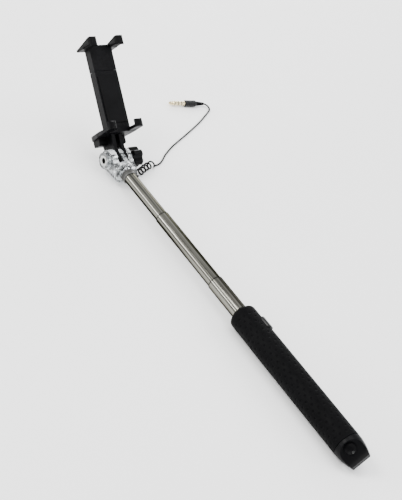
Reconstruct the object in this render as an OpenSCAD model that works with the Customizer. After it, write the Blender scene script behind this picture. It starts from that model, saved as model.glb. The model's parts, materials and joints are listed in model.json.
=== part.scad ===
// Telescopic selfie stick with a wired shutter button, a sprung phone clamp,
// a clear hinged yoke and a short curly lead to a jack plug.
// Frame: the origin is on the pole's axis at the middle of the grip.
// +Y runs along the pole towards the phone, +X towards the clamping knob,
// +Z is up when the stick lies on its back.

/* [Handle] */
// Outside diameter of the rubber grip
grip_d = 18.6; // [17:0.1:20]
// Distance that the shutter button stands proud of the rubber
button_proud = 1.1; // [0.8:0.1:1.5]
// Angle of the shutter button round the grip, from +X towards +Z
button_angle = 50; // [40:1:60]
// Diameter of the wrist strap hole in the end cap
strap_hole_d = 1.8; // [1.6:0.1:3.2]

/* [Pole] */
// How far section C stands out of the handle tube
out_c = 29.6; // [25:0.1:40]
// How far section B stands out of section C
out_b = 67.2; // [60:0.1:70]
// Wall thickness of the moving tubes
tube_wall = 0.3; // [0.25:0.05:0.3]

/* [Head] */
// Angle of the clamp's face to the pole
clamp_angle = 38.25; // [30:0.25:60]
// Diameter over the tips of the knob's lobes
knob_d = 15.4; // [14.8:0.1:15.4]

/* [Clamp] */
// Opening between the phone seats with the jaws shut
jaw_opening = 58.6; // [56:0.1:62]
// Width of the jaws
jaw_w = 28.8; // [27.4:0.2:30]
// Width of one jaw prong
prong_w = 6.8; // [6.2:0.1:7]

/* [Lead] */
// Diameter of the lead
lead_d = 1.3; // [1.2:0.1:1.3]
// Outside diameter of the curled stretch of the lead
curl_d = 6; // [5.6:0.1:6]

/* [Hidden] */

$fn = 64;
gr = grip_d / 2;
table_z = -9.3;
mouth_y = 56;          // rubber lip at the pole end of the grip
seam_y = -56;          // joint between the grip and the end cap
cap_end_y = -70.2;
d_end = 57.8;          // rim of the handle tube
c_end = d_end + out_c; // rim of section C
b_end = c_end + out_b; // rim of section B
a_top = 205.5;         // top of section A, inside the yoke
rd = 5.95;             // outer radii of the tubes
rc = 5.425;
rb = 4.95;
ra = 4.5;
d_bot = -49;
c_bot = c_end - 100;
b_bot = b_end - 89;
a_bot = a_top - 86.5;
shoe_l = 8;
hinge_y = 217;
hinge_z = 2.4;
coil_r = 2.6;          // radius of the coiled lead inside the pole
bolt_r = 2.5;
z_low = 20;            // lower phone seat, above the hinge
z_up = z_low + jaw_opening;
jx = jaw_w / 2;
sx = 9.3;              // half width of the clamp's spine
s_front = -10.4;       // front of the spine
s_back = -3.8;         // back of the spine
rod_x = 3.0;
rod_y = -6.95;
z_top = z_up - 16.6;   // top of the clamp housing

black = [0.07, 0.07, 0.075];
rubber = [0.16, 0.16, 0.17];
steel = [0.72, 0.71, 0.68];
brass = [0.78, 0.62, 0.30];
clear = [0.88, 0.90, 0.93, 0.5];

// ---- helpers ----
module ycyl(r, y0, y1) translate([0, y0, 0]) rotate([-90, 0, 0]) cylinder(r = r, h = y1 - y0);
module ytube(ro, ri, y0, y1) difference() { ycyl(ro, y0, y1); ycyl(ri, y0 - 1, y1 + 1); }
module yrev(pts) rotate([-90, 0, 0]) rotate_extrude() polygon(pts);
module xcyl(r, x0, x1, y, z) translate([x0, y, z]) rotate([0, 90, 0]) cylinder(r = r, h = x1 - x0);
// outline in (y, z) pushed along X
module xprof(pts, x0, x1) translate([x0, 0, 0]) rotate([90, 0, 90]) linear_extrude(height = x1 - x0) polygon(pts);
// frame of the clamp: y backwards, z from the hinge to the upper jaw
module at_clamp() translate([0, hinge_y, hinge_z]) rotate([clamp_angle - 90, 0, 0]) children();
// frame whose +X points out of the grip at angle a, centred at height y
module at_side(a, y) translate([0, y, 0]) rotate([0, -a, 0]) children();
module both_x() { children(); mirror([1, 0, 0]) children(); }

// rim rolled inwards at the open end of a tube
module rolled_tube(ro, wall, rim_r, y0, y1) difference() {
  yrev([[0, y0], [ro, y0], [ro, y1 - 0.35], [ro - 0.3, y1], [0, y1]]);
  ycyl(ro - wall, y0 - 1, y1 - 3);
  ycyl(rim_r, y0 - 1, y1 + 1);
}
// guide shoe pressed into the lower end of a tube
module shoe(r, tube_in_r, y_top) difference() {
  union() { ycyl(r, y_top - shoe_l, y_top); ycyl(tube_in_r - 0.02, y_top - 1, y_top + 4); }
  ycyl(3.2, y_top - shoe_l - 1, y_top + 5);
}

// ---- handle ----
module grip_sleeve() color(rubber) difference() {
  // plain barrel below the button, a shade slimmer beside and above it
  yrev([[7.9, seam_y + 0.1], [gr, seam_y + 0.1], [gr, 33], [gr - 0.1, 33.8], [gr - 0.1, mouth_y - 2.2], [gr - 0.3, mouth_y - 1.2],
        [gr - 0.9, mouth_y - 0.4], [gr - 1.9, mouth_y], [6.0, mouth_y], [6.0, mouth_y - 2.4], [7.9, mouth_y - 2.4]]);
  at_side(button_angle, 39.5) translate([8, 0, 0]) button_outline(10.6, 7.1, -3, 6);
}
module handle_core() color([0.2, 0.2, 0.21]) difference() {
  ytube(7.85, 6.0, -52.2, mouth_y - 2.5);
  at_side(button_angle, 39.5) translate([2, -6.3, -4.5]) cube([8, 12.6, 9]);
  at_side(button_angle, 0) translate([5, -53, -1.6]) cube([1.75, 87, 3.2]);
}
module outer_tube() color(steel) difference() {
  rolled_tube(rd, 0.35, rc + 0.03, d_bot, d_end);
}
module end_cap() color(black) difference() {
  yrev([[0, cap_end_y], [6.4, cap_end_y], [6.75, cap_end_y + 0.3], [7.9, cap_end_y + 3.8], [8.7, cap_end_y + 7.2],
        [gr - 0.1, cap_end_y + 10.7], [gr, cap_end_y + 13.2], [gr, seam_y - 0.3], [gr - 0.4, seam_y],
        [7.8, seam_y], [7.8, seam_y + 3.2], [0, seam_y + 3.2]]);
  // hollow behind the anchor
  ycyl(6.6, seam_y, seam_y + 4);
  // both sides pinched to a blade at the end
  for (a = [134, 314]) at_side(a, cap_end_y - 0.3) translate([16, 0, -15]) cylinder(r = 14, h = 30);
  // strap hole with a scoop on each side
  for (a = [134, 314]) at_side(a, -63.2) translate([7.4, 0, 0]) sphere(r = 5);
  at_side(134, -63.2) translate([-12, 0, 0]) rotate([0, 90, 0]) cylinder(r = strap_hole_d / 2, h = 24);
}
module lead_anchor() color(black) difference() {
  union() { ycyl(5.57, d_bot, d_bot + 3); ycyl(5.95, d_bot - 3.5, d_bot); ycyl(6.5, d_bot - 4.6, d_bot - 3.3); }
  ycyl(0.9, d_bot - 7, d_bot + 4);
  at_side(button_angle, d_bot - 3.3) translate([5.98, -3, -1.4]) cube([2, 3, 2.8]);
}
// rounded outline pushed along local X, l along Y and w across
module button_outline(l, w, x0, x1) translate([x0, 0, 0]) rotate([0, 90, 0]) linear_extrude(height = x1 - x0) union() {
  square([w - 3, l], center = true);
  square([w, l - 3], center = true);
  for (i = [-1, 1], j = [-1, 1]) translate([i * (w / 2 - 1.5), j * (l / 2 - 1.5)]) circle(r = 1.5);
}
module shutter_button() color(black) difference() {
  union() {
    intersection() { at_side(button_angle, 39.5) button_outline(10.2, 6.7, 7.2, 12); ycyl(gr + button_proud, 30, 50); }
    intersection() { at_side(button_angle, 39.5) button_outline(12.2, 8.2, 7.1, 7.8); ycyl(7.82, 30, 50); }
  }
  at_side(button_angle, 39.5) translate([6, -3.8, -2.6]) cube([2.4, 7.6, 5.2]);
}
module tact_switch() color([0.12, 0.12, 0.12]) at_side(button_angle, 39.5) difference() {
  translate([6.55, -2.2, -2.2]) cube([1.25, 4.4, 4.4]);
  translate([7.0, 0, 0]) rotate([0, 90, 0]) cylinder(r = 0.95, h = 2);
}
module switch_plunger() color([0.85, 0.85, 0.82]) at_side(button_angle, 39.5) translate([7.55, 0, 0]) rotate([0, 90, 0]) cylinder(r = 0.9, h = 0.84);
module switch_board() color([0.10, 0.32, 0.16]) at_side(button_angle, 39.5) translate([6.05, -3.7, -2.4]) cube([0.5, 7.4, 4.8]);
module switch_ribbon() color([0.75, 0.45, 0.12]) at_side(button_angle, 0) {
  translate([6.05, -52.6, -1.1]) cube([0.4, 88.4, 2.2]);
  translate([0.2, -54.2, -1.1]) cube([6.25, 0.4, 2.2]);
  translate([6.05, -54.2, -1.1]) cube([0.4, 2, 2.2]);
}

// ---- pole ----
module tube_c() color(steel) rolled_tube(rc, tube_wall, rb + 0.03, c_bot, c_end);
module tube_b() color(steel) rolled_tube(rb, tube_wall, ra + 0.03, b_bot, b_end);
module tube_a() color(steel) ytube(ra, ra - tube_wall, a_bot, a_top);
module slide_shoe_c() color([0.85, 0.85, 0.82]) shoe(rd - 0.35 - 0.03, rc - tube_wall, c_bot);
module slide_shoe_b() color([0.85, 0.85, 0.82]) shoe(rc - tube_wall - 0.03, rb - tube_wall, b_bot);
module slide_shoe_a() color([0.85, 0.85, 0.82]) shoe(rb - tube_wall - 0.03, ra - tube_wall - 0.05, a_bot);
module lead_in_handle() color(black) ycyl(coil_r, d_bot + 3.05, c_bot - shoe_l);
module lead_in_tube_c() color(black) ycyl(coil_r, c_bot - shoe_l, b_bot - shoe_l);
module lead_in_tube_b() color(black) ycyl(coil_r, b_bot - shoe_l, a_bot - shoe_l);
module lead_in_tube_a() color(black) union() {
  ycyl(coil_r, a_bot - shoe_l, 199);
  ycyl(lead_d / 2, 198.5, 206.4 + lead_d / 2);
  at_side(-30, 206.4) translate([0, 0, 0]) rotate([0, 90, 0]) cylinder(r = lead_d / 2, h = 7.65);
}

// ---- head ----
module tube_collar() color([0.55, 0.55, 0.53]) difference() {
  yrev([[0, 198], [5.0, 198], [5.3, 198.3], [5.3, 199.0], [4.95, 199.2], [4.95, 199.5], [5.3, 199.7], [5.3, 200.4], [4.95, 200.6],
        [4.95, 200.9], [5.3, 201.1], [5.3, 202.0], [5.0, 202.4], [0, 202.4]]);
  ycyl(ra + 0.02, 197, 204);
}
module yoke_finger(x0, x1, zb, zt) {
  xcyl(7.3, x0, x1, hinge_y, hinge_z);
  xprof([[203.4, zb], [203.4, zt], [hinge_y + 0.6, hinge_z + 7.28], [hinge_y - 0.6, hinge_z - 7.28]], x0, x1);
}
module yoke() color(clear) difference() {
  union() {
    yrev([[0, 202.5], [7.5, 202.5], [8.1, 203.1], [8.1, 206.8], [7.3, 208.4], [0, 208.4]]);
    // base widened under the screw's ear
    translate([-1.8, 0, 0]) yrev([[0, 202.5], [7.4, 202.5], [8.0, 203.1], [8.0, 206.8], [7.2, 208.4], [0, 208.4]]);
    yoke_finger(-9.5, -4.6, -3.4, 4.0);
    yoke_finger(-1.5, 1.5, -6.6, 7.2);
    yoke_finger(4.6, 7.5, -3.4, 4.0);
    // boss round the screw's head
    xcyl(5.8, -12.4, -9.4, hinge_y, hinge_z);
  }
  xcyl(bolt_r + 0.02, -9, 9, hinge_y, hinge_z);
  xcyl(3.9, -13, -8.2, hinge_y, hinge_z);
  ycyl(ra + 0.02, 202, a_top + 0.05);
  ycyl(3.2, a_top, 207.3);
  at_side(-30, 206.4) rotate([0, 90, 0]) cylinder(r = 0.75, h = 10);
  at_side(-30, 206.4) translate([7.7, 0, 0]) rotate([0, 90, 0]) cylinder(r = 2.0, h = 4);
  at_side(-90, 204.5) translate([4.4, 0, 0]) rotate([0, 90, 0]) cylinder(r = 1.27, h = 5);
}
module yoke_set_screw() color(steel) at_side(-90, 204.5) translate([4.55, 0, 0]) rotate([0, 90, 0]) difference() {
  cylinder(r = 1.25, h = 3.2);
  translate([0, 0, 1.8]) cylinder(r = 0.72, h = 3, $fn = 6);
}
module lead_grommet() color(black) at_side(-30, 206.4) rotate([0, 90, 0]) {
  translate([0, 0, 7.75]) cylinder(r = 1.95, h = 0.75);
  translate([0, 0, 8.5]) cylinder(r1 = 1.6, r2 = 1.0, h = 2.0);
}
module hinge_screw() color(steel) difference() {
  union() {
    xcyl(3.8, -11.8, -8.25, hinge_y, hinge_z);
    xcyl(3.5, -12.1, -11.7, hinge_y, hinge_z);
    xcyl(bolt_r, -8.3, 15.8, hinge_y, hinge_z);
  }
  translate([-12.2, hinge_y, hinge_z]) rotate([0, 90, 0]) cylinder(r = 2.2, h = 2.4, $fn = 6);
}
module hinge_washer() color(steel) difference() {
  xcyl(4.8, 7.55, 8.35, hinge_y, hinge_z);
  xcyl(bolt_r + 0.02, 7, 9, hinge_y, hinge_z);
}
module knob() color(black) {
  kr = knob_d / 2;
  translate([0, hinge_y, hinge_z]) rotate([0, 90, 0]) difference() {
    intersection() {
      // five lobes round a core
      union() {
        translate([0, 0, 8.45]) cylinder(r = 5.3, h = 9.35);
        for (i = [0:4]) rotate(i * 72 + 56) translate([kr - 2.3, 0, 10]) cylinder(r = 2.3, h = 7.8);
        for (i = [0:4]) rotate(i * 72 + 56) translate([3, -2.3, 10]) cube([kr - 5.3, 4.6, 7.8]);
      }
      // turned outline: narrow neck at the washer, domed outer face
      rotate_extrude() polygon([[0, 8.4], [4.6, 8.4], [5.0, 9.4], [kr - 0.5, 10.4], [kr, 11.2], [kr, 16.4], [kr - 0.5, 17.2], [kr - 1.6, 17.6], [0, 17.8]]);
    }
    for (i = [0:4]) rotate(i * 72 + 92) translate([kr + 0.9, 0, 8]) cylinder(r = 3.2, h = 11);
    translate([0, 0, 8]) cylinder(r = 2.7, h = 2.1);
    translate([0, 0, 10]) cylinder(r = 3.62, h = 6.2);
  }
}
module knob_insert() color(brass) difference() {
  xcyl(3.6, 10.05, 16.0, hinge_y, hinge_z);
  xcyl(bolt_r + 0.05, 10, 16.3, hinge_y, hinge_z);
}
// ---- clamp ----
low_prong = [[-2, 17.0], [-2, 19], [-19, 19], [-19, 22.8], [-19.5, 23.4], [-21.0, 23.3], [-21.7, 22.4], [-21.9, 21],
             [-21.9, 19.6], [-21.3, 18.3], [-20.2, 17.7]];
up_prong = [[-4, z_up + 2.1], [-4, z_up + 1], [-19, z_up + 1], [-19, z_up - 0.4], [-19.5, z_up - 0.9], [-20.6, z_up - 0.8], [-21.4, z_up + 0.4],
            [-21.9, z_up + 2.2], [-21.9, z_up + 4.2], [-21.4, z_up + 5.3], [-20.6, z_up + 5.8]];
module prong(pts, zc) intersection() {
  xprof(pts, jx - prong_w, jx);
  union() {
    translate([jx - prong_w - 1, -18.3, zc - 20]) cube([prong_w + 2, 20, 40]);
    translate([jx - prong_w / 2, -18.3, zc - 20]) cylinder(r = prong_w / 2, h = 40);
  }
}
module clamp_body() color(black) at_clamp() difference() {
  union() {
    // plate of the lower jaw, narrower at the back
    intersection() {
      xprof([[s_front, 17.2], [9.2, 16.2], [9.2, 19.3], [8.4, 19.8], [s_front, 19.8]], -jx, jx);
      translate([0, 0, 10]) linear_extrude(height = 15) polygon([[-jx, -11], [jx, -11], [jx, -6], [11.9, 9.3], [-11.9, 9.3], [-jx, -6]]);
    }
    // block that carries the fingers
    xprof([[1.5, 12.2], [2.5, 11.3], [8.4, 11.3], [9.2, 12.1], [9.2, 19], [1.5, 19]], -11.2, 11.2);
    // spine
    translate([-sx, s_front, 19]) cube([2 * sx, s_back - s_front, z_top - 19]);
    both_x() prong(low_prong, 18);
    // two fingers
    both_x() xcyl(6.8, 1.6, 4.5, 0, 0);
    both_x() xprof([[-6.7, 1.2], [-5.0, 8], [-5.6, 17.4], [8.6, 17.4], [8.6, 12], [6.7, 1.2]], 1.6, 4.5);
  }
  both_x() xcyl(bolt_r + 0.06, 1, 5, 0, 0);
  // spring chamber, open at the back, with a screw boss in each corner
  difference() {
    translate([-7.9, -8.9, z_low + 0.6]) cube([15.8, 6, z_top - 2.5 - z_low - 0.6]);
    cover_posts(1.25, -9, -5.05);
  }
  cover_posts(0.5, -8.2, -4);
  // guide holes of the rods
  for (i = [-1, 1]) translate([i * rod_x, rod_y, z_top - 3]) cylinder(r = 1.05, h = 5);
  // shallow seat of the rest pad
  translate([-8.1, -10.6, 23.9]) cube([16.2, 0.5, z_top - 4 - 23.8]);
}
module cover_posts(r, y0, y1) for (i = [-1, 1], z = [z_low + 2.2, z_top - 4.1]) translate([i * 6.4, y0, z]) rotate([-90, 0, 0]) cylinder(r = r, h = y1 - y0);
module clamp_rear_cover() color(black) at_clamp() difference() {
  translate([-7.8, -5.0, z_low + 0.7]) cube([15.6, 1.2, z_top - 2.6 - z_low - 0.7]);
  cover_posts(0.55, -6, -3);
  cover_posts(1.05, -4.5, -3);
}
module cover_screws() color(steel) at_clamp() difference() {
  union() { cover_posts(0.49, -8.0, -4.4); cover_posts(1.0, -4.45, -3.85); }
  for (i = [-1, 1], z = [z_low + 2.2, z_top - 4.1]) translate([i * 6.4, -4.1, z]) for (q = [0, 90]) rotate([0, q, 0]) translate([-0.7, 0, -0.12]) cube([1.4, 1, 0.24]);
}
module lower_jaw_pads() color(rubber) at_clamp() both_x() translate([jx - prong_w + 0.5, -18.7, z_low - 1]) cube([prong_w - 1, 8.2, 1]);
module phone_rest_pad() color(rubber) at_clamp() translate([-8, -11.2, 24]) cube([16, 1.1, z_top - 4 - 24]);
module upper_jaw() color(black) at_clamp() difference() {
  union() {
    // slider in line with the spine
    translate([-sx, s_front, z_top + 0.3]) cube([2 * sx, s_back - s_front, z_up - z_top + 1]);
    // plate across both prongs
    xprof([[s_front, z_up], [-2.4, z_up], [-1.6, z_up + 0.8], [-1.6, z_up + 1.4], [-2.2, z_up + 1.9], [s_front, z_up + 2.4]], -jx, jx);
    both_x() prong(up_prong, z_up + 2);
  }
  for (i = [-1, 1]) translate([i * rod_x, rod_y, z_top - 1]) cylinder(r = 1.005, h = 14.5);
  // hollows beside the rods
  both_x() translate([5.2, -8.9, z_top - 1]) cube([2.6, 3.6, 14]);
}
module upper_jaw_pads() color(rubber) at_clamp() both_x() translate([jx - prong_w + 0.5, -18.7, z_up]) cube([prong_w - 1, 8.2, 1]);
module jaw_rods() color(steel) at_clamp() for (i = [-1, 1]) translate([i * rod_x, rod_y, 22.2]) {
  cylinder(r = 1.0, h = z_top + 13.3 - 22.2);
}
module rod_clips() color(steel) at_clamp() for (i = [-1, 1]) translate([i * rod_x, rod_y, 23.3]) difference() {
  cylinder(r = 1.85, h = 0.8);
  translate([0, 0, -1]) cylinder(r = 1.01, h = 3);
}
module jaw_springs() color(steel) at_clamp() for (i = [-1, 1]) translate([i * rod_x, rod_y, 24.2]) difference() {
  cylinder(r = 1.8, h = z_top - 2.6 - 24.2);
  translate([0, 0, -1]) cylinder(r = 1.15, h = 60);
}
// ---- lead ----
// points of the lead from the grommet to the curled stretch
tail_pts = [[9.09, 206.4, -5.25], [9.96, 206.35, -5.72], [11.2, 206.2, -6.1], [12.4, 206.0, -6.25]];
// axis of the curled stretch
curl_pts = [[11.6, 208.0, -6.3], [14.5, 209.2, -6.3], [17.8, 210.2, -6.3], [21.0, 212.0, -6.3], [25.0, 214.2, -6.3], [29.0, 215.8, -6.3], [33.0, 216.9, -6.3], [36.5, 217.4, -6.3]];
// points of the free stretch to the plug
lead_pts = [[36.5, 217.4, -8.65], [39.0, 217.9, -8.65], [42.0, 219.2, -8.65], [46.3, 222.4, -8.65], [50.0, 225.8, -8.65], [54.6, 229.6, -8.65], [63.8, 236.0, -8.65],
            [72.0, 240.8, -8.65], [81.0, 245.8, -8.65], [90.0, 251.0, -8.65], [99.2, 256.4, -8.65], [106.0, 260.6, -8.65], [112.4, 264.9, -8.65],
            [118.0, 268.9, -8.65], [122.6, 272.2, -8.65], [125.6, 274.6, -8.5], [126.8, 277.0, -8.1], [126.3, 279.2, -7.5],
            [124.9, 280.5, -7.0], [123.2, 281.1, -6.6]];
function cr(p, i, u) = let(n = len(p) - 1, a = p[max(i - 1, 0)], b = p[i], c = p[min(i + 1, n)], d = p[min(i + 2, n)])
  0.5 * (2 * b + (c - a) * u + (2 * a - 5 * b + 4 * c - d) * u * u + (3 * b - a - 3 * c + d) * u * u * u);
function unit(v) = v / norm(v);
// smooth curve through the points, k steps between neighbours
function smooth(p, k) = [for (i = [0:len(p) - 2]) for (j = [0:k - 1]) cr(p, i, j / k), p[len(p) - 1]];
function ring(c, t, r, n) = let(s = unit(cross(t, [0, 0, 1])), u = cross(s, t)) [for (j = [0:n - 1]) c + r * cos(360 * (j + 0.5) / n) * s + r * sin(360 * (j + 0.5) / n) * u];
module sweep_tube(path, r, n) {
  m = len(path);
  tan = [for (i = [0:m - 1]) unit(path[min(i + 1, m - 1)] - path[max(i - 1, 0)])];
  pts = [for (i = [0:m - 1]) for (q = ring(path[i], tan[i], r, n)) q];
  faces = concat([[for (j = [n - 1:-1:0]) j]], [[for (j = [0:n - 1]) (m - 1) * n + j]],
    [for (i = [0:m - 2]) for (j = [0:n - 1]) [i * n + j, i * n + (j + 1) % n, (i + 1) * n + (j + 1) % n]],
    [for (i = [0:m - 2]) for (j = [0:n - 1]) [i * n + j, (i + 1) * n + (j + 1) % n, (i + 1) * n + j]]);
  polyhedron(points = pts, faces = faces, convexity = 6);
}
module cord_tail() color(black) sweep_tube(smooth(tail_pts, 1), lead_d / 2, 8);
module cord_coil() color(black) sweep_tube(smooth(curl_pts, 2), curl_d / 2, 12);
module cord_lead() color(black) sweep_tube(smooth(lead_pts, 3), lead_d / 2, 8);

// ---- plug ----
// frame of the plug: +Z from the jack's tip to the lead, on the lead's last point
module at_plug() translate([123.2, 281.1, -6.6]) rotate([0, 0, -9.5]) rotate([0, 90, 0]) children();
module plug_relief() color(black) at_plug() difference() {
  translate([0, 0, -7]) cylinder(r1 = 1.9, r2 = 1.15, h = 7);
  for (i = [0:3]) translate([0, 0, -6 + i * 1.4]) difference() { cylinder(r = 3, h = 0.5); translate([0, 0, -1]) cylinder(r = 1.3 - i * 0.08, h = 3); }
}
module plug_body() color(black) at_plug() translate([0, 0, -17.6]) rotate_extrude() polygon([[0, 0], [2.2, 0], [2.6, 0.5], [2.65, 9.2], [2.2, 10.2], [1.95, 10.6], [0, 10.6]]);
module plug_jack() color(brass) at_plug() translate([0, 0, -31.6]) difference() {
  rotate_extrude() polygon([[0, 0], [0.7, 0.15], [1.5, 1.6], [1.6, 2.2], [1.2, 3.0], [1.2, 3.3], [1.75, 3.9], [1.75, 14], [0, 14]]);
  for (z = [4.6, 7.6, 10.6]) translate([0, 0, z]) difference() { cylinder(r = 3, h = 0.7); translate([0, 0, -1]) cylinder(r = 1.3, h = 3); }
}
module plug_rings() color(black) at_plug() for (z = [4.6, 7.6, 10.6]) translate([0, 0, z - 31.6]) difference() {
  cylinder(r = 1.73, h = 0.7);
  translate([0, 0, -1]) cylinder(r = 1.31, h = 3);
}

grip_sleeve();
handle_core();
outer_tube();
end_cap();
lead_anchor();
shutter_button();
switch_plunger();
tact_switch();
switch_board();
switch_ribbon();
tube_c();
slide_shoe_c();
tube_b();
slide_shoe_b();
tube_a();
slide_shoe_a();
lead_in_handle();
lead_in_tube_c();
lead_in_tube_b();
lead_in_tube_a();
tube_collar();
yoke();
yoke_set_screw();
lead_grommet();
hinge_screw();
hinge_washer();
knob();
knob_insert();
clamp_body();
clamp_rear_cover();
cover_screws();
lower_jaw_pads();
phone_rest_pad();
upper_jaw();
upper_jaw_pads();
jaw_rods();
rod_clips();
jaw_springs();
cord_tail();
cord_coil();
cord_lead();
plug_relief();
plug_body();
plug_jack();
plug_rings();
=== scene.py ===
import bpy, bmesh, math, json
from mathutils import Vector, Matrix, Quaternion, noise
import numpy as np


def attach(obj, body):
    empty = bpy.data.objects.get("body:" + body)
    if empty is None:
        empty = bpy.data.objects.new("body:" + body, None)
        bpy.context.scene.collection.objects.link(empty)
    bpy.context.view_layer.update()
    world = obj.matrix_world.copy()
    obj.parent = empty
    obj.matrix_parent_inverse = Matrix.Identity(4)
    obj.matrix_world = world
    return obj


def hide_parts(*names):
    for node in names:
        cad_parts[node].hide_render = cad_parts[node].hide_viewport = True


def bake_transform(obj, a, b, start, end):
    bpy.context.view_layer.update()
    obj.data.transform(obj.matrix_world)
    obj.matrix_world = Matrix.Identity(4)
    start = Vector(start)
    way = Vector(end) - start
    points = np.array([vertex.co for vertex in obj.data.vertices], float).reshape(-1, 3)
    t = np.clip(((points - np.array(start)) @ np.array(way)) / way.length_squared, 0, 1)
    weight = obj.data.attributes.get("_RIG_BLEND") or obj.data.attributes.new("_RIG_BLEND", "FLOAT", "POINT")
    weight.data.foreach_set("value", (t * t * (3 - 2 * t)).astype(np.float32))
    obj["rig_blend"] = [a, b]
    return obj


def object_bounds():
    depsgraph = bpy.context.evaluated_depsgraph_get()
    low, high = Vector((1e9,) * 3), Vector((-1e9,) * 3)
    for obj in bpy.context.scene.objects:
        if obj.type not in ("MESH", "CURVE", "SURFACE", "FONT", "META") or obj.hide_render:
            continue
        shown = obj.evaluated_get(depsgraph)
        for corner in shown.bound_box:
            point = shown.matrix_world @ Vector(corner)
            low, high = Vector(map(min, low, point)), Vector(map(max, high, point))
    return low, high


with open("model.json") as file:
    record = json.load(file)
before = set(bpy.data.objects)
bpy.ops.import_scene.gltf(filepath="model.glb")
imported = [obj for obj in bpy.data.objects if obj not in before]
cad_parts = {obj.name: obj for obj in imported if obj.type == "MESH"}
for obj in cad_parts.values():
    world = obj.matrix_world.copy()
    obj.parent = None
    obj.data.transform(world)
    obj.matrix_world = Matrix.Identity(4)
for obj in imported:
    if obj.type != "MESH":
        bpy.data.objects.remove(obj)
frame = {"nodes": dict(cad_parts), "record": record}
cad_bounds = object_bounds()
nodes = frame["nodes"]
MM = 0.001
pi = math.pi

# numbers shared with the CAD, in millimetres
HINGE = Vector((0.0, 217.0, 2.4))
PHI = math.radians(38.25)
AX_Z = Vector((0.0, math.cos(PHI), math.sin(PHI)))   # up the clamp
AX_Y = Vector((0.0, math.sin(PHI), -math.cos(PHI)))  # to the clamp's back
BUTTON_A = math.radians(50)
C_END = 87.4    # rims of the middle tubes
B_END = 154.6


def clamp_pt(x, y, z):
    return HINGE + Vector((x, 0, 0)) + AX_Y * y + AX_Z * z


# ---------------------------------------------------------------- camera
cam_data = bpy.data.cameras.new("camera")
cam = bpy.data.objects.new("camera", cam_data)
bpy.context.scene.collection.objects.link(cam)
right = Vector((0.79191, -0.53134, 0.300926)).normalized()
back = Vector((-0.59193, -0.54692, 0.59202)).normalized()
up = back.cross(right).normalized()
m = Matrix((right, up, back)).transposed().to_4x4()
m.translation = Vector((-0.46250629, -0.31762717, 0.47145584))
cam.matrix_world = m
cam_data.lens = 85.536
cam_data.sensor_width = 36.0
cam_data.sensor_fit = "AUTO"
cam_data.clip_start = 0.01
cam_data.clip_end = 20.0
cam_data.dof.use_dof = False
bpy.context.scene.camera = cam


# ---------------------------------------------------------------- helpers
def link(o):
    bpy.context.scene.collection.objects.link(o)
    return o


def mesh_obj(name, verts, faces, smooth=True):
    me = bpy.data.meshes.new(name)
    me.from_pydata([tuple(Vector(v) * MM) for v in verts], [], faces)
    me.update()
    o = link(bpy.data.objects.new(name, me))
    if smooth:
        me.shade_smooth()
    return o


def catmull(p, k):
    out = []
    n = len(p) - 1
    for i in range(n):
        a, b, c, d = p[max(i - 1, 0)], p[i], p[i + 1], p[min(i + 2, n)]
        for j in range(k):
            u = j / k
            out.append(0.5 * (2 * b + (c - a) * u + (2 * a - 5 * b + 4 * c - d) * u * u + (3 * b - a - 3 * c + d) * u ** 3))
    out.append(p[-1].copy())
    return out


def resample(p, step):
    out = [p[0].copy()]
    carry = 0.0
    for i in range(len(p) - 1):
        a, b = p[i], p[i + 1]
        L = (b - a).length
        d = step - carry
        while d <= L:
            out.append(a.lerp(b, d / L))
            d += step
        carry = (carry + L) % step
    if (out[-1] - p[-1]).length > 0.3 * step:
        out.append(p[-1].copy())
    else:
        out[-1] = p[-1].copy()
    return out


def path_length(p):
    return sum((p[i + 1] - p[i]).length for i in range(len(p) - 1))


def tube(name, pts, radius, sides=12, caps=True):
    """A round tube along pts; radius is a number or one per point."""
    n = len(pts)
    rad = radius if isinstance(radius, (list, tuple)) else [radius] * n
    tang = [(pts[min(i + 1, n - 1)] - pts[max(i - 1, 0)]).normalized() for i in range(n)]
    ref = Vector((0, 0, 1)) if abs(tang[0].z) < 0.9 else Vector((1, 0, 0))
    u = tang[0].cross(ref).normalized()
    verts, faces = [], []
    for i in range(n):
        if i:
            u = (tang[i - 1].rotation_difference(tang[i]) @ u)
            u = (u - tang[i] * u.dot(tang[i])).normalized()
        w = tang[i].cross(u)
        for j in range(sides):
            a = 2 * pi * j / sides
            verts.append(pts[i] + (u * math.cos(a) + w * math.sin(a)) * rad[i])
    for i in range(n - 1):
        for j in range(sides):
            faces.append((i * sides + j, i * sides + (j + 1) % sides, (i + 1) * sides + (j + 1) % sides, (i + 1) * sides + j))
    if caps:
        faces.append(tuple(range(sides - 1, -1, -1)))
        faces.append(tuple((n - 1) * sides + j for j in range(sides)))
    return mesh_obj(name, verts, faces)


def lathe_y(name, profile, seg=96, mat=None):
    """profile is (radius, y); closed when the first and last radius are 0, else a closed ring section."""
    verts, faces, n = [], [], len(profile)
    for r, y in profile:
        for j in range(seg):
            a = 2 * pi * j / seg
            verts.append((r * math.cos(a), y, r * math.sin(a)))
    loops = n if profile[0][0] > 0 else n - 1
    for i in range(loops):
        k = (i + 1) % n
        for j in range(seg):
            faces.append((i * seg + j, i * seg + (j + 1) % seg, k * seg + (j + 1) % seg, k * seg + j))
    o = mesh_obj(name, verts, faces)
    bm = bmesh.new(); bm.from_mesh(o.data)
    bmesh.ops.remove_doubles(bm, verts=bm.verts, dist=1e-7)
    bmesh.ops.recalc_face_normals(bm, faces=bm.faces)
    bm.to_mesh(o.data); bm.free()
    o.data.shade_smooth()
    return o


def smooth_by_angle(o, deg):
    me = o.data
    me.shade_smooth()
    bm = bmesh.new(); bm.from_mesh(me)
    lim = math.radians(deg)
    for e in bm.edges:
        if len(e.link_faces) == 2:
            e.smooth = e.calc_face_angle(0.0) < lim
    bm.to_mesh(me); bm.free()


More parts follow.
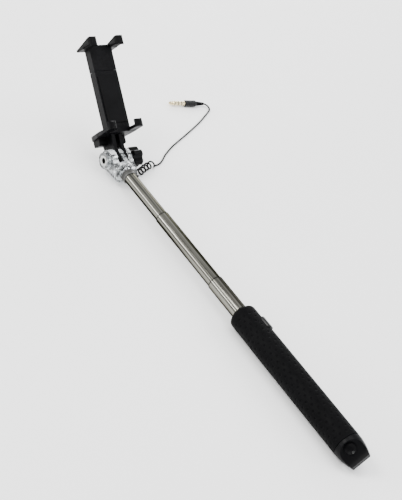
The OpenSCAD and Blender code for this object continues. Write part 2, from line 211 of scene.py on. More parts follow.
def softened(node, name, width, segments=3, angle=28, dissolve=4.0, only=None):
    """A copy of a CAD node's shape with its edges rounded inside its own volume."""
    src = nodes[node]
    me = src.data.copy()
    me.name = name
    for a in [a for a in me.attributes if a.name.startswith("custom_normal") or a.name == "sharp_face"]:
        me.attributes.remove(a)
    o = link(bpy.data.objects.new(name, me))
    bm = bmesh.new(); bm.from_mesh(me)
    bmesh.ops.remove_doubles(bm, verts=bm.verts, dist=2e-6)
    bmesh.ops.dissolve_limit(bm, angle_limit=math.radians(dissolve), verts=bm.verts, edges=bm.edges)
    bmesh.ops.dissolve_degenerate(bm, dist=4e-6, edges=bm.edges)
    bm.to_mesh(me); bm.free()
    for p in me.polygons:
        p.use_smooth = True
    md = o.modifiers.new("bevel", "BEVEL")
    md.width = width * MM
    md.segments = segments
    md.limit_method = "ANGLE"
    md.angle_limit = math.radians(angle)
    md.use_clamp_overlap = True
    md.harden_normals = True
    wn = o.modifiers.new("normals", "WEIGHTED_NORMAL")
    wn.keep_sharp = True
    deps = bpy.context.evaluated_depsgraph_get()
    new = bpy.data.meshes.new_from_object(o.evaluated_get(deps))
    o.modifiers.clear()
    o.data = new
    o.data.materials.clear()
    return o


# ---------------------------------------------------------------- materials
def new_mat(name):
    mt = bpy.data.materials.new(name)
    mt.use_nodes = True
    nt = mt.node_tree
    nt.nodes.clear()
    out = nt.nodes.new("ShaderNodeOutputMaterial")
    bs = nt.nodes.new("ShaderNodeBsdfPrincipled")
    nt.links.new(bs.outputs["BSDF"], out.inputs["Surface"])
    return mt, nt, bs


def n_(nt, kind, **vals):
    nd = nt.nodes.new(kind)
    for k, v in vals.items():
        if k in nd.inputs:
            nd.inputs[k].default_value = v
        else:
            setattr(nd, k, v)
    return nd


def tex(nt, scale, detail=3.0, rough=0.5, coord="Object", stretch=None):
    tc = nt.nodes.new("ShaderNodeTexCoord")
    no = nt.nodes.new("ShaderNodeTexNoise")
    no.inputs["Scale"].default_value = scale
    no.inputs["Detail"].default_value = detail
    no.inputs["Roughness"].default_value = rough
    if stretch:
        mp = nt.nodes.new("ShaderNodeMapping")
        mp.inputs["Scale"].default_value = stretch
        nt.links.new(tc.outputs[coord], mp.inputs["Vector"])
        nt.links.new(mp.outputs["Vector"], no.inputs["Vector"])
    else:
        nt.links.new(tc.outputs[coord], no.inputs["Vector"])
    return no


def ramp(nt, src, p0, c0, p1, c1):
    r = nt.nodes.new("ShaderNodeValToRGB")
    e = r.color_ramp.elements
    e[0].position, e[1].position = p0, p1
    e[0].color = (*c0, 1) if len(c0) == 3 else c0
    e[1].color = (*c1, 1) if len(c1) == 3 else c1
    nt.links.new(src, r.inputs["Fac"])
    return r


def bump(nt, bs, height, strength, dist, prev=None):
    b = nt.nodes.new("ShaderNodeBump")
    b.inputs["Strength"].default_value = strength
    b.inputs["Distance"].default_value = dist
    nt.links.new(height, b.inputs["Height"])
    if prev:
        nt.links.new(prev.outputs["Normal"], b.inputs["Normal"])
    nt.links.new(b.outputs["Normal"], bs.inputs["Normal"])
    return b


def mapr(nt, src, lo, hi, a=0.0, b=1.0):
    r = nt.nodes.new("ShaderNodeMapRange")
    r.inputs["From Min"].default_value = a
    r.inputs["From Max"].default_value = b
    r.inputs["To Min"].default_value = lo
    r.inputs["To Max"].default_value = hi
    nt.links.new(src, r.inputs["Value"])
    return r


def edge_wear(nt, bs, base_src, wear_col, lo=0.54, hi=0.62, amount=0.5):
    """Slightly paler, worn edges where the surface turns sharply, broken up by noise."""
    geo = nt.nodes.new("ShaderNodeNewGeometry")
    no = tex(nt, 900, 4)
    pt = mapr(nt, geo.outputs["Pointiness"], 0, 1, lo, hi)
    mul = nt.nodes.new("ShaderNodeMath"); mul.operation = "MULTIPLY"
    nt.links.new(pt.outputs["Result"], mul.inputs[0])
    nt.links.new(mapr(nt, no.outputs["Fac"], 0.0, 1.0, 0.38, 0.62).outputs["Result"], mul.inputs[1])
    am = nt.nodes.new("ShaderNodeMath"); am.operation = "MULTIPLY"; am.inputs[1].default_value = amount
    nt.links.new(mul.outputs[0], am.inputs[0])
    mx = nt.nodes.new("ShaderNodeMix"); mx.data_type = "RGBA"
    nt.links.new(am.outputs[0], mx.inputs[0])
    nt.links.new(base_src, mx.inputs[6])
    mx.inputs[7].default_value = (*wear_col, 1)
    nt.links.new(mx.outputs[2], bs.inputs["Base Color"])


def mat_plastic(name, c0, c1, r0, r1, grain=1800, depth=0.00003, strength=0.35, wear=(0.10, 0.10, 0.105), amount=0.5, coat=0.0, spec=0.5):
    mt, nt, bs = new_mat(name)
    big = tex(nt, 55, 4)
    col = ramp(nt, big.outputs["Fac"], 0.35, c0, 0.68, c1)
    edge_wear(nt, bs, col.outputs["Color"], wear, amount=amount)
    ro = tex(nt, 140, 5, 0.6)
    nt.links.new(mapr(nt, ro.outputs["Fac"], r0, r1, 0.3, 0.7).outputs["Result"], bs.inputs["Roughness"])
    fine = tex(nt, grain, 2)
    b1 = bump(nt, bs, fine.outputs["Fac"], strength, depth)
    bs.inputs["Coat Weight"].default_value = coat
    bs.inputs["Coat Roughness"].default_value = 0.15
    bs.inputs["Specular IOR Level"].default_value = spec
    return mt


def mat_metal(name, c0, c1, r0, r1, stretch=None, scratch=0.15, tint_noise=30):
    mt, nt, bs = new_mat(name)
    big = tex(nt, tint_noise, 3)
    col = ramp(nt, big.outputs["Fac"], 0.35, c0, 0.7, c1)
    nt.links.new(col.outputs["Color"], bs.inputs["Base Color"])
    bs.inputs["Metallic"].default_value = 1.0
    smudge = tex(nt, 90, 5, 0.6)
    line = tex(nt, 700, 3, 0.6, stretch=stretch or (1, 1, 1))
    mx = nt.nodes.new("ShaderNodeMix"); mx.data_type = "FLOAT"
    mx.inputs[0].default_value = 0.4
    nt.links.new(smudge.outputs["Fac"], mx.inputs[2])
    nt.links.new(line.outputs["Fac"], mx.inputs[3])
    nt.links.new(mapr(nt, mx.outputs[0], r0, r1, 0.3, 0.7).outputs["Result"], bs.inputs["Roughness"])
    bump(nt, bs, line.outputs["Fac"], scratch, 0.00001)
    return mt


def mat_clear():
    mt, nt, bs = new_mat("clear_plastic")
    haze = tex(nt, 60, 4)
    col = ramp(nt, haze.outputs["Fac"], 0.3, (0.78, 0.81, 0.83), 0.75, (0.90, 0.92, 0.93))
    nt.links.new(col.outputs["Color"], bs.inputs["Base Color"])
    bs.inputs["Transmission Weight"].default_value = 0.97
    bs.inputs["IOR"].default_value = 1.49
    ro = tex(nt, 200, 4)
    nt.links.new(mapr(nt, ro.outputs["Fac"], 0.01, 0.05, 0.35, 0.7).outputs["Result"], bs.inputs["Roughness"])
    wave = tex(nt, 220, 2)
    bump(nt, bs, wave.outputs["Fac"], 0.1, 0.00004)
    return mt


def mat_grip():
    """Soft black rubber with fine grain and a few rubbed patches."""
    mt, nt, bs = new_mat("grip_rubber")
    big = tex(nt, 40, 4)
    col = ramp(nt, big.outputs["Fac"], 0.35, (0.0008, 0.0008, 0.0010), 0.7, (0.0018, 0.0018, 0.0021))
    edge_wear(nt, bs, col.outputs["Color"], (0.008, 0.008, 0.009), 0.51, 0.58, 0.3)
    ro = tex(nt, 160, 5, 0.6)
    nt.links.new(mapr(nt, ro.outputs["Fac"], 0.46, 0.64, 0.3, 0.7).outputs["Result"], bs.inputs["Roughness"])
    fine = tex(nt, 2600, 3)
    bump(nt, bs, fine.outputs["Fac"], 0.3, 0.00004)
    bs.inputs["Specular IOR Level"].default_value = 0.035
    return mt


def mat_pole():
    """Drawn steel tube: fine streaks along its length, and painted shade as a thin dark band on the outer tube at each
    rolled rim.
    """
    mt, nt, bs = new_mat("pole_steel")
    line = tex(nt, 420, 2, 0.5, stretch=(1, 0.012, 1))
    col = ramp(nt, line.outputs["Fac"], 0.42, (0.036, 0.0355, 0.030), 0.58, (0.20, 0.196, 0.172))
    tc = nt.nodes.new("ShaderNodeTexCoord")
    xyz = nt.nodes.new("ShaderNodeSeparateXYZ")
    nt.links.new(tc.outputs["Object"], xyz.inputs["Vector"])
    flat = nt.nodes.new("ShaderNodeVectorMath"); flat.operation = "MULTIPLY"
    flat.inputs[1].default_value = (1.0, 0.0, 1.0)
    nt.links.new(tc.outputs["Object"], flat.inputs[0])
    ln = nt.nodes.new("ShaderNodeVectorMath"); ln.operation = "LENGTH"
    nt.links.new(flat.outputs["Vector"], ln.inputs[0])
    total = None
    # painted shade: the outer tube is darkened within about 1 mm of each rim, where the tube inside it comes out
    for y_rim, r_in in ((57.8, 5.5), (C_END, 5.02), (B_END, 4.57)):
        dy = nt.nodes.new("ShaderNodeMath"); dy.operation = "SUBTRACT"; dy.inputs[1].default_value = y_rim * MM
        nt.links.new(xyz.outputs["Y"], dy.inputs[0])
        ab = nt.nodes.new("ShaderNodeMath"); ab.operation = "ABSOLUTE"
        nt.links.new(dy.outputs[0], ab.inputs[0])
        rim_shade_band = mapr(nt, ab.outputs[0], 1.0, 0.0, 0.0008, 0.0011)
        outer = mapr(nt, ln.outputs["Value"], 0.0, 1.0, (r_in - 0.03) * MM, r_in * MM)
        rim_shade_mask = nt.nodes.new("ShaderNodeMath"); rim_shade_mask.operation = "MULTIPLY"
        nt.links.new(rim_shade_band.outputs["Result"], rim_shade_mask.inputs[0])
        nt.links.new(outer.outputs["Result"], rim_shade_mask.inputs[1])
        if total is None:
            total = rim_shade_mask.outputs[0]
            continue
        mxx = nt.nodes.new("ShaderNodeMath"); mxx.operation = "MAXIMUM"
        nt.links.new(total, mxx.inputs[0])
        nt.links.new(rim_shade_mask.outputs[0], mxx.inputs[1])
        total = mxx.outputs[0]
    dark = nt.nodes.new("ShaderNodeMix"); dark.data_type = "RGBA"
    nt.links.new(total, dark.inputs[0])
    nt.links.new(col.outputs["Color"], dark.inputs[6])
    dark.inputs[7].default_value = (0.016, 0.0155, 0.013, 1)
    nt.links.new(dark.outputs[2], bs.inputs["Base Color"])
    bs.inputs["Metallic"].default_value = 1.0
    bs.inputs["Specular Tint"].default_value = (0.16, 0.155, 0.14, 1)
    smudge = tex(nt, 90, 5, 0.6)
    nt.links.new(mapr(nt, smudge.outputs["Fac"], 0.09, 0.20, 0.3, 0.7).outputs["Result"], bs.inputs["Roughness"])
    bump(nt, bs, line.outputs["Fac"], 0.12, 0.00001)
    return mt


def mat_bolt():
    """Bright turned steel, with painted shade in the socket and the shank: darker within about 2 mm of the screw's
    axis.
    """
    mt = mat_metal("bolt_steel", (0.42, 0.42, 0.41), (0.55, 0.55, 0.53), 0.12, 0.24)
    nt = mt.node_tree
    bs = next(n for n in nt.nodes if n.type == "BSDF_PRINCIPLED")
    old = bs.inputs["Base Color"].links[0].from_socket
    tc = nt.nodes.new("ShaderNodeTexCoord")
    off = nt.nodes.new("ShaderNodeVectorMath"); off.operation = "SUBTRACT"
    off.inputs[1].default_value = (0.0, 0.217, 0.0024)
    nt.links.new(tc.outputs["Object"], off.inputs[0])
    flat = nt.nodes.new("ShaderNodeVectorMath"); flat.operation = "MULTIPLY"
    flat.inputs[1].default_value = (0.0, 1.0, 1.0)
    nt.links.new(off.outputs["Vector"], flat.inputs[0])
    ln = nt.nodes.new("ShaderNodeVectorMath"); ln.operation = "LENGTH"
    nt.links.new(flat.outputs["Vector"], ln.inputs[0])
    # painted shade: the base colour goes near black within 2.05 mm of the hinge axis, over the socket and the shank
    edge = mapr(nt, ln.outputs["Value"], 0.0, 1.0, 0.00205, 0.00235)
    mx = nt.nodes.new("ShaderNodeMix"); mx.data_type = "RGBA"
    nt.links.new(edge.outputs["Result"], mx.inputs[0])
    mx.inputs[6].default_value = (0.02, 0.02, 0.021, 1)
    nt.links.new(old, mx.inputs[7])
    nt.links.new(mx.outputs[2], bs.inputs["Base Color"])
    return mt


M = {
    "grip_rubber": mat_grip(),
    "black_plastic": mat_plastic("black_plastic", (0.0008, 0.0008, 0.0010), (0.0018, 0.0018, 0.0022), 0.28, 0.44, wear=(0.008, 0.008, 0.009), amount=0.35, spec=0.06),
    "button_plastic": mat_plastic("button_plastic", (0.0022, 0.0022, 0.0025), (0.0042, 0.0042, 0.0047), 0.26, 0.38, wear=(0.02, 0.02, 0.022), amount=0.35, spec=0.2),
    "core_plastic": mat_plastic("core_plastic", (0.02, 0.02, 0.021), (0.035, 0.035, 0.036), 0.4, 0.6),
    "switch_plastic": mat_plastic("switch_plastic", (0.01, 0.01, 0.011), (0.02, 0.02, 0.021), 0.3, 0.45),
    "board": mat_plastic("board", (0.01, 0.10, 0.045), (0.015, 0.14, 0.06), 0.25, 0.4, grain=900),
    "ribbon": mat_plastic("ribbon", (0.35, 0.16, 0.03), (0.45, 0.21, 0.04), 0.25, 0.4, grain=900),
    "lead_skin": mat_plastic("lead_skin", (0.0008, 0.0008, 0.0010), (0.0016, 0.0016, 0.0019), 0.24, 0.38, grain=2500, strength=0.12, amount=0.0, coat=0.0, spec=0.12),
    "shoe_plastic": mat_plastic("shoe_plastic", (0.62, 0.60, 0.55), (0.70, 0.68, 0.62), 0.4, 0.55, wear=(0.8, 0.8, 0.75)),
    "collar_grey": mat_plastic("collar_grey", (0.022, 0.0215, 0.0195), (0.04, 0.039, 0.036), 0.3, 0.5, wear=(0.25, 0.25, 0.25)),
    "black_rubber": mat_plastic("black_rubber", (0.0018, 0.0018, 0.002), (0.0034, 0.0034, 0.0038), 0.5, 0.68, grain=1600, strength=0.4, wear=(0.008, 0.008, 0.009), spec=0.05),
    "plug_plastic": mat_plastic("plug_plastic", (0.0018, 0.0018, 0.0021), (0.0036, 0.0036, 0.004), 0.22, 0.36, wear=(0.02, 0.02, 0.022), coat=0.0, spec=0.22),
    "ring_plastic": mat_plastic("ring_plastic", (0.008, 0.008, 0.008), (0.012, 0.012, 0.012), 0.3, 0.4, amount=0.0),
    "clear_plastic": mat_clear(),
    "pole_steel": mat_pole(),
    "bolt_steel": mat_bolt(),
    "spring_steel": mat_metal("spring_steel", (0.45, 0.45, 0.45), (0.58, 0.58, 0.57), 0.25, 0.4),
    "jack_metal": mat_metal("jack_metal", (0.72, 0.60, 0.36), (0.80, 0.70, 0.46), 0.12, 0.25),
    "insert_brass": mat_metal("insert_brass", (0.62, 0.46, 0.20), (0.72, 0.55, 0.26), 0.2, 0.35),
}
slot_of = {s["node"]: s["material_slot"] for s in frame["record"]["subparts"]}
for nm, ob in nodes.items():
    mt = M[slot_of[nm]]
    if not ob.material_slots:
        ob.data.materials.append(mt)
    for ms in ob.material_slots:
        ms.material = mt


def place(o, body, slot, *reps):
    o.data.materials.clear()
    o.data.materials.append(M[slot])
    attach(o, body)
    if reps:
        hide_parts(*reps)
    return o


# ---------------------------------------------------------------- the free cord
V = Vector
TAIL = [V((9.09, 206.4, -5.25)), V((9.96, 206.35, -5.72)), V((11.2, 206.2, -6.1)), V((12.4, 206.0, -6.25))]
CURL = [V((11.6, 208.0, -6.3)), V((14.5, 209.2, -6.3)), V((17.8, 210.2, -6.3)), V((21.0, 212.0, -6.3)), V((25.0, 214.2, -6.3)), V((29.0, 215.8, -6.3)), V((33.0, 216.9, -6.3)), V((36.5, 217.4, -6.3))]
LEAD = [V(p) for p in [(36.5, 217.4, -8.65), (39.0, 217.9, -8.65), (42.0, 219.2, -8.65), (46.3, 222.4, -8.65), (50.0, 225.8, -8.65), (54.6, 229.6, -8.65), (63.8, 236.0, -8.65),
        (72.0, 240.8, -8.65), (81.0, 245.8, -8.65), (90.0, 251.0, -8.65), (99.2, 256.4, -8.65), (106.0, 260.6, -8.65), (112.4, 264.9, -8.65),
        (118.0, 268.9, -8.65), (122.6, 272.2, -8.65), (125.6, 274.6, -8.5), (126.8, 277.0, -8.1), (126.3, 279.2, -7.5),
        (124.9, 280.5, -7.0), (123.2, 281.1, -6.6)]]
CORD_R = 0.65
TURNS = 5.25
CURL_R = 2.33
BEND = 1 / 3.1
axis = resample(catmull(CURL, 12), 0.1)
AX_LEN = path_length(axis)


def run_in(low):
    """The lead turning from along the curl's axis into its winding angle, no tighter than BEND."""
    out, x, a, al, ds = [(0.0, 0.0)], 0.0, 0.0, pi / 2, 0.03
    while al > low:
        k = math.cos(al) ** 2 / CURL_R
        al -= math.sqrt(max(BEND * BEND - k * k, 0.08 ** 2)) * ds
        x += math.sin(al) * ds
        a += math.cos(al) / CURL_R * ds
        out.append((x, a))
    return out


lo_a, hi_a = math.radians(8), math.radians(40)
for _ in range(40):
    mid_a = (lo_a + hi_a) / 2
    ends = run_in(mid_a)
    turned = 2 * ends[-1][1] + (AX_LEN - 2 * ends[-1][0]) / (CURL_R * math.tan(mid_a))
    if turned > 2 * pi * TURNS:
        lo_a = mid_a
    else:
        hi_a = mid_a
ends = run_in(mid_a)
x1, a1 = ends[-1]
total = 2 * pi * TURNS
wind = ends[:-1]
steps = 600
for i in range(steps + 1):
    f = i / steps
    wind.append((x1 + (AX_LEN - 2 * x1) * f, a1 + (total - 2 * a1) * f))
wind += [(AX_LEN - x, total - a) for x, a in reversed(ends[:-1])]
helix = []
for x, a in wind:
    # the turns are a little uneven, as a used curly lead's are
    x += 0.14 * math.sin(2 * pi * 2.3 * x / AX_LEN) * math.sin(pi * x / AX_LEN)
    k = x / AX_LEN * (len(axis) - 1)
    i0 = min(max(int(k), 0), len(axis) - 2)
    c = axis[i0].lerp(axis[i0 + 1], k - i0)
    t = (axis[min(i0 + 6, len(axis) - 1)] - axis[max(i0 - 5, 0)]).normalized()
    side = t.cross(V((0, 0, 1))).normalized()
    helix.append(c + (side * math.cos(-a) + V((0, 0, 1)) * math.sin(-a)) * CURL_R)
route = catmull(TAIL[:-1] + [helix[0]], 8)[:-1] + resample(helix, 0.2)[:-1] + catmull([helix[-1]] + LEAD[1:], 8)
route = resample(route, 0.35)


def relax(p, where, reach, n):
    """Rounds the route near a point, so that no bend is tighter than a limp lead takes."""
    w = [max(0.0, 1 - ((q - where).length / reach) ** 2) if (q - where).length < reach else 0.0 for q in p]
    w[0] = w[1] = w[-1] = w[-2] = 0.0
    for _ in range(n):
        q = [v.copy() for v in p]
        for i in range(1, len(p) - 1):
            if w[i] > 0:
                q[i] = p[i].lerp((p[i - 1] + p[i + 1]) / 2, w[i])
        p = q
    return p


route = relax(route, helix[0], 1.6, 3)
route = relax(route, helix[-1], 1.6, 3)
# nothing of the lead goes below the table
route = [V((min(p.x, 126.74), p.y, max(p.z, -8.65))) for p in route]
cv = bpy.data.curves.new("cord", "CURVE")
cv.dimensions = "3D"
cv.bevel_depth = CORD_R * MM
cv.bevel_resolution = 4
cv.use_fill_caps = True
sp = cv.splines.new("POLY")
sp.points.add(len(route) - 1)
for i, p in enumerate(route):
    sp.points[i].co = (*(p * MM), 1)
sp.use_smooth = True
cord = link(bpy.data.objects.new("cord", cv))
cord.data.materials.append(M["lead_skin"])
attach(cord, "section_a")
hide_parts("cord_tail", "cord_coil", "cord_lead")

# ---------------------------------------------------------------- plug
PLUG = V((123.2, 281.1, -6.6))
PDIR = V((math.cos(math.radians(9.5)), -math.sin(math.radians(9.5)), 0))


def lathe_dir(name, prof, origin, d, seg=48):
    """prof is (radius, distance along d from origin)."""
    d = d.normalized()
    u = d.cross(V((0, 0, 1)))
    u = u.normalized() if u.length > 1e-3 else V((1, 0, 0))
    w = d.cross(u)
    verts, faces, n = [], [], len(prof)
    for r, s in prof:
        for j in range(seg):
            a = 2 * pi * j / seg
            verts.append(origin + d * s + (u * math.cos(a) + w * math.sin(a)) * r)
    for i in range(n - 1):
        for j in range(seg):
            faces.append((i * seg + j, i * seg + (j + 1) % seg, (i + 1) * seg + (j + 1) % seg, (i + 1) * seg + j))
    if prof[0][0] > 0 and prof[-1][0] > 0:
        for j in range(seg):
            faces.append(((n - 1) * seg + j, (n - 1) * seg + (j + 1) % seg, (j + 1) % seg, j))
    o = mesh_obj(name, verts, faces)
    bm = bmesh.new(); bm.from_mesh(o.data)
    bmesh.ops.remove_doubles(bm, verts=bm.verts, dist=1e-7)
    bmesh.ops.recalc_face_normals(bm, faces=bm.faces)
    bm.to_mesh(o.data); bm.free()
    smooth_by_angle(o, 50)
    return o


# moulded body with finger ribs
prof = [(0, -17.58), (2.0, -17.58), (2.35, -17.4), (2.55, -17.0)]
for i in range(5):
    s = -15.8 + i * 1.5
    prof += [(2.62, s - 0.45), (2.44, s - 0.25), (2.44, s + 0.25), (2.62, s + 0.45)]
prof += [(2.62, -8.6), (2.45, -8.0), (2.2, -7.5), (1.98, -7.15), (0, -7.05)]
plug_body = place(lathe_dir("plug_moulding", prof, PLUG, PDIR), "section_a", "plug_plastic", "plug_body")
prof = [(0.69, -6.98), (1.86, -6.98)]
for i in range(4):
    s = -6.0 + i * 1.4
    r = 1.85 - 0.107 * (s + 7)
    prof += [(r + 0.02, s - 0.06), (r - 0.32, s + 0.02), (r - 0.36, s + 0.46), (r - 0.05, s + 0.55)]
prof += [(1.2, -0.25), (1.05, 0.0), (0.69, 0.0)]
plug_relief = place(lathe_dir("plug_strain_relief", prof, PLUG, PDIR), "section_a", "black_rubber", "plug_relief")
cord_grommet_prof = [(0.69, 7.77), (1.92, 7.77), (1.92, 8.4), (1.6, 8.5)]
GDIR = V((math.cos(math.radians(-30)), 0, math.sin(math.radians(-30))))
for i in range(3):
    s = 8.85 + i * 0.55
    r = 1.6 - 0.3 * (s - 8.5)
    cord_grommet_prof += [(r, s - 0.08), (r - 0.2, s), (r - 0.22, s + 0.2), (r - 0.08, s + 0.26)]
cord_grommet_prof += [(1.04, 10.34), (0.96, 10.48), (0.69, 10.48)]
grommet = place(lathe_dir("lead_strain_relief", cord_grommet_prof, V((0, 206.4, 0)), GDIR), "section_a", "black_rubber", "lead_grommet")


# ---------------------------------------------------------------- coiled lead inside the pole
def coil_y(name, y0, y1, pitch, r_axis, r_wire, sides=8, per=14, lead_in=0.0):
    n = max(2, int((y1 - y0) / pitch * per))
    pts = []
    for i in range(n + 1):
        y = y0 + (y1 - y0) * i / n
        a = 2 * pi * (y - y0) / pitch
        pts.append(V((r_axis * math.cos(a), y, r_axis * math.sin(a))))
    return tube(name, pts, r_wire, sides)


for nm, node, a, b, y0, y1 in [("inner_lead_handle", "lead_in_handle", "handle", "section_c", -45.3, -21.2),
                               ("inner_lead_c", "lead_in_tube_c", "section_c", "section_b", -20.0, 57.0),
                               ("inner_lead_b", "lead_in_tube_b", "section_b", "section_a_slider", 58.2, 110.4)]:
    o = coil_y(nm, y0, y1, 3.2, 1.85, 0.65)
    o.data.materials.append(M["lead_skin"])
    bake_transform(o, a, b, (0, y0 * MM, 0), (0, y1 * MM, 0))
    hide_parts(node)
pts = [V((1.85 * math.cos(2 * pi * (y - 111.7) / 3.2), y, 1.85 * math.sin(2 * pi * (y - 111.7) / 3.2))) for y in [111.7 + i * 3.2 / 14 for i in range(int((198 - 111.7) / 3.2 * 14))]]
last = pts[-1]
pts += [last.lerp(V((0.3, 202.0, -0.2)), 0.5) + V((0, 0.6, 0)), V((0.3, 202.5, -0.2)), V((0.3, 204.6, -0.2)), V((0.9, 206.0, -0.5)), V((0, 206.4, 0)) + GDIR * 2.2, V((0, 206.4, 0)) + GDIR * 7.6]
o = tube("inner_lead_a", resample(catmull(pts, 2), 0.4), 0.64, 8)
place(o, "section_a", "lead_skin", "lead_in_tube_a")


# ---------------------------------------------------------------- dimpled grip
def grip():
    prof = []   # outer skin, from the cap seam to the mouth
    y = -55.9
    prof.append((9.3, -55.88))
    n = 330
    ys = [-55.6 + (53.8 + 55.6) * i / n for i in range(n + 1)]
    outer = [(9.1, -55.9), (9.25, -55.82)] + [(9.3 - 0.1 * min(max((v - 33.0) / 0.8, 0.0), 1.0), v) for v in ys] + [(9.14, 54.25), (9.02, 54.75), (8.8, 55.25), (8.5, 55.6), (8.1, 55.82), (7.7, 55.93), (7.3, 55.98),
             (6.7, 55.98), (6.2, 55.9), (6.02, 55.7), (6.0, 54.6), (6.0, 53.62), (7.9, 53.62), (7.9, -55.9)]
    seg = 180
    du = 2 * pi * 9.3 / 14.0   # 14 dimples round, 4.17 mm apart
    dv = 3.62                  # rows along the grip, staggered
    bc, bs_ = math.cos(BUTTON_A), math.sin(BUTTON_A)
    verts, faces = [], []
    for r, yv in outer:
        for j in range(seg):
            a = 2 * pi * j / seg
            rr = r
            if r > 9.15 and -55.6 <= yv <= 53.8:
                row = round((yv + 52.2) / dv)
                if 0 <= row and row * dv - 52.2 <= 51.2:
                    off = 0.5 * (row % 2)
                    s = a * 9.3 / du
                    col = round(s - off) + off
                    dx = (s - col) * du
                    dy = yv - (row * dv - 52.2)
                    d = math.hypot(dx, dy)
                    # no dimples on the smooth pad round the button
                    cen = (col / 14.0) * 2 * pi
                    da = (cen - BUTTON_A + pi) % (2 * pi) - pi
                    near = abs(da) * 9.3 < 5.6 and abs(row * dv - 52.2 - 39.5) < 8.2
                    if d < 0.95 and not near:
                        q = d / 0.95
                        rr -= 0.42 * (1 - q * q) ** 1.3
            verts.append((rr * math.cos(a), yv, rr * math.sin(a)))
    n = len(outer)
    for i in range(n):
        k = (i + 1) % n
        for j in range(seg):
            faces.append((i * seg + j, i * seg + (j + 1) % seg, k * seg + (j + 1) % seg, k * seg + j))
    o = mesh_obj("grip_rubber_sleeve", verts, faces)
    bm = bmesh.new(); bm.from_mesh(o.data)
    bmesh.ops.recalc_face_normals(bm, faces=bm.faces)
    bm.to_mesh(o.data); bm.free()
    # window for the button
    cut = rounded_plug("grip_cut", 10.6, 7.1, 1.6, 6.0, 13.0)
    md = o.modifiers.new("window", "BOOLEAN")
    md.operation = "DIFFERENCE"; md.object = cut; md.solver = "EXACT"
    deps = bpy.context.evaluated_depsgraph_get()
    new = bpy.data.meshes.new_from_object(o.evaluated_get(deps))
    o.modifiers.clear(); o.data = new
    bpy.data.objects.remove(cut)
    smooth_by_angle(o, 48)
    return o


def button_frame(x, l, w):
    """A point beside the button: x out of the grip, l along it, w across it."""
    out = V((math.cos(BUTTON_A), 0, math.sin(BUTTON_A)))
    across = V((-math.sin(BUTTON_A), 0, math.cos(BUTTON_A)))
    return out * x + V((0, 39.5 + l, 0)) + across * w


def rounded_loop(l, w, r, k=8):
    pts = []
    for cx, cy, a0 in [(l / 2 - r, w / 2 - r, 0), (-l / 2 + r, w / 2 - r, 90), (-l / 2 + r, -w / 2 + r, 180), (l / 2 - r, -w / 2 + r, 270)]:
        for i in range(k + 1):
            a = math.radians(a0 + 90 * i / k)
            pts.append((cx + r * math.cos(a), cy + r * math.sin(a)))
    return pts


def rounded_plug(name, l, w, r, x0, x1):
    loop = rounded_loop(l, w, r)
    n = len(loop)
    verts = [button_frame(x0, a, b) for a, b in loop] + [button_frame(x1, a, b) for a, b in loop]
    faces = [tuple(range(n - 1, -1, -1)), tuple(range(n, 2 * n))] + [(i, (i + 1) % n, n + (i + 1) % n, n + i) for i in range(n)]
    o = mesh_obj(name, verts, faces)
    bm = bmesh.new(); bm.from_mesh(o.data)
    bmesh.ops.recalc_face_normals(bm, faces=bm.faces)
    bm.to_mesh(o.data); bm.free()
    return o


def button():
    """A domed pad with a soft edge, a shallow dish and a flange under the rubber."""
    rings = []
    for inset, drop in [(0.0, 2.6), (0.0, 0.9), (0.12, 0.45), (0.4, 0.14), (0.85, 0.02), (1.5, 0.0), (2.2, 0.06), (2.9, 0.14)]:
        rings.append((rounded_loop(10.1 - 2 * inset, 6.6 - 2 * inset, max(0.35, 2.0 - inset * 0.6)), drop))
    verts, faces = [], []
    n = len(rings[0][0])
    for lp, drop in rings:
        for a, b in lp:
            top = math.sqrt(10.4 ** 2 - b * b)
            verts.append(button_frame(top - drop, a, b))
    for i in range(len(rings) - 1):
        for j in range(n):
            faces.append((i * n + j, i * n + (j + 1) % n, (i + 1) * n + (j + 1) % n, (i + 1) * n + j))
    base = (len(rings) - 1) * n
    ct = len(verts)
    verts.append(button_frame(10.4 - 0.16, 0, 0))
    for j in range(n):
        faces.append((base + j, base + (j + 1) % n, ct))
    # flange and hollow underside
    fl = rounded_loop(12.0, 8.0, 1.5)
    def ring_of(lp, xs):
        s = len(verts)
        for a, b in lp:
            verts.append(button_frame(xs(a, b), a, b))
        return s
    cap_r = rounded_loop(10.1, 6.6, 2.0)
    s0 = 0
    s1 = ring_of(cap_r, lambda a, b: math.sqrt(7.8 ** 2 - b * b))
    s2 = ring_of(fl, lambda a, b: math.sqrt(7.8 ** 2 - min(b * b, 16)))
    s3 = ring_of(fl, lambda a, b: min(7.12, math.sqrt(7.8 ** 2 - min(b * b, 16)) - 0.02) if abs(b) > 3.1 else 7.12)
    ins = rounded_loop(7.6, 5.2, 0.6)
    s4 = ring_of(ins, lambda a, b: 7.12)
    s5 = ring_of(ins, lambda a, b: 8.4)
    for p, q in [(s1, s0), (s2, s1), (s3, s2), (s4, s3), (s5, s4)]:
        for j in range(n):
            faces.append((p + j, p + (j + 1) % n, q + (j + 1) % n, q + j))
    faces.append(tuple(s5 + j for j in range(n)))
    o = mesh_obj("shutter_pad", verts, faces)
    bm = bmesh.new(); bm.from_mesh(o.data)
    bmesh.ops.recalc_face_normals(bm, faces=bm.faces)
    bm.to_mesh(o.data); bm.free()
    smooth_by_angle(o, 40)
    return o


place(grip(), "handle", "grip_rubber", "grip_sleeve")
place(button(), "shutter", "button_plastic", "shutter_button")


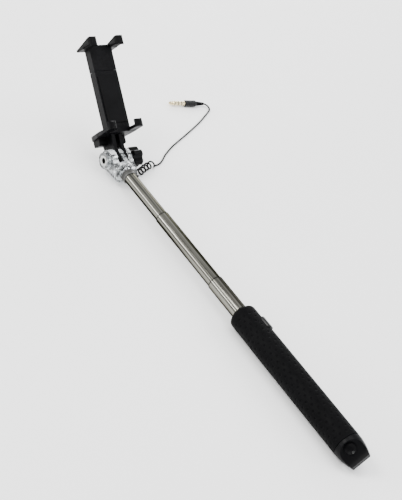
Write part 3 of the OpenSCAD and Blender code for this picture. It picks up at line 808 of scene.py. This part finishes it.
# ---------------------------------------------------------------- rounded edges on the moulded pieces
for node, name, width, body, slot in [
    ("end_cap", "end_cap_moulding", 0.35, "handle", "black_plastic"),
    ("clamp_body", "clamp_moulding", 0.45, "clamp", "black_plastic"),
    ("clamp_rear_cover", "rear_cover_moulding", 0.25, "clamp", "black_plastic"),
    ("upper_jaw", "upper_jaw_moulding", 0.45, "upper_jaw_body", "black_plastic"),
    ("knob", "knob_moulding", 0.4, "knob_body", "black_plastic"),
    ("yoke", "clear_yoke", 0.35, "section_a", "clear_plastic"),
    ("phone_rest_pad", "rest_pad", 0.25, "clamp", "black_rubber"),
    ("lower_jaw_pads", "lower_pads", 0.2, "clamp", "black_rubber"),
    ("upper_jaw_pads", "upper_pads", 0.2, "upper_jaw_body", "black_rubber"),
    ("hinge_screw", "hinge_cap_screw", 0.2, "section_a", "bolt_steel"),
]:
    place(softened(node, name, width), body, slot, node)


# ---------------------------------------------------------------- jaw springs
def spring(name, x):
    z0, z1, turns = 24.25, 59.35, 15
    pts = []
    n = turns * 20
    for i in range(n + 1):
        f = i / n
        # closed end turns
        g = f
        if f < 0.08:
            g = f * 0.45
        elif f > 0.92:
            g = 1 - (1 - f) * 0.45
        else:
            g = 0.036 + (f - 0.08) * (1 - 0.072) / 0.84
        a = 2 * pi * turns * f
        pts.append(clamp_pt(x + 1.475 * math.cos(a), -6.95 + 1.475 * math.sin(a), z0 + 0.34 + (z1 - z0 - 0.68) * g))
    return tube(name, pts, 0.31, 8)


for side, x in (("left", -3.0), ("right", 3.0)):
    o = spring("jaw_spring_" + side, x)
    o.data.materials.append(M["spring_steel"])
    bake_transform(o, "upper_jaw_body", "clamp", tuple(clamp_pt(0, 0, 24.6) * MM), tuple(clamp_pt(0, 0, 59.0) * MM))
    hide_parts("jaw_springs")

# ---------------------------------------------------------------- floor and light
lo, hi = cad_bounds if isinstance(cad_bounds, (tuple, list)) else (cad_bounds, cad_bounds)
FLOOR = -9.3 * MM
fm = bpy.data.meshes.new("floor")
fm.from_pydata([(-3, -3, FLOOR), (3, -3, FLOOR), (3, 3.5, FLOOR), (-3, 3.5, FLOOR)], [], [(0, 1, 2, 3)])
floor = link(bpy.data.objects.new("floor", fm))
mt, nt, bs = new_mat("floor_pale")
no = tex(nt, 3, 3)
nt.links.new(ramp(nt, no.outputs["Fac"], 0.3, (0.955, 0.955, 0.952), 0.7, (0.965, 0.965, 0.962)).outputs["Color"], bs.inputs["Base Color"])
fr = tex(nt, 40, 3)
nt.links.new(mapr(nt, fr.outputs["Fac"], 0.55, 0.7, 0.3, 0.7).outputs["Result"], bs.inputs["Roughness"])
floor.data.materials.append(mt)

world = bpy.data.worlds.new("studio")
bpy.context.scene.world = world
world.use_nodes = True
bg = world.node_tree.nodes.get("Background") or world.node_tree.nodes.new("ShaderNodeBackground")
bg.inputs["Color"].default_value = (0.93, 0.94, 0.95, 1)
bg.inputs["Strength"].default_value = 1.45


def area(name, loc, target, size, size_y, power, color=(1, 1, 1)):
    ld = bpy.data.lights.new(name, "AREA")
    ld.shape = "RECTANGLE"
    ld.size, ld.size_y = size, size_y
    ld.energy = power
    ld.color = color
    o = link(bpy.data.objects.new(name, ld))
    o.location = loc
    o.rotation_euler = (Vector(target) - Vector(loc)).to_track_quat("-Z", "Y").to_euler()
    return o


mid = (0.0, 0.11, 0.02)
area("key", (-0.9, 0.55, 1.1), mid, 0.7, 0.5, 19, (1.0, 0.99, 0.97))
area("strip", (-1.05, 0.72, 0.34), mid, 0.9, 0.16, 8)
area("fill", (0.9, -0.5, 0.7), mid, 0.9, 0.6, 8, (0.97, 0.98, 1.0))
area("top", (0.1, 0.1, 1.4), mid, 1.0, 1.0, 15)
area("rim", (0.6, 0.9, 0.35), mid, 0.5, 0.3, 5)
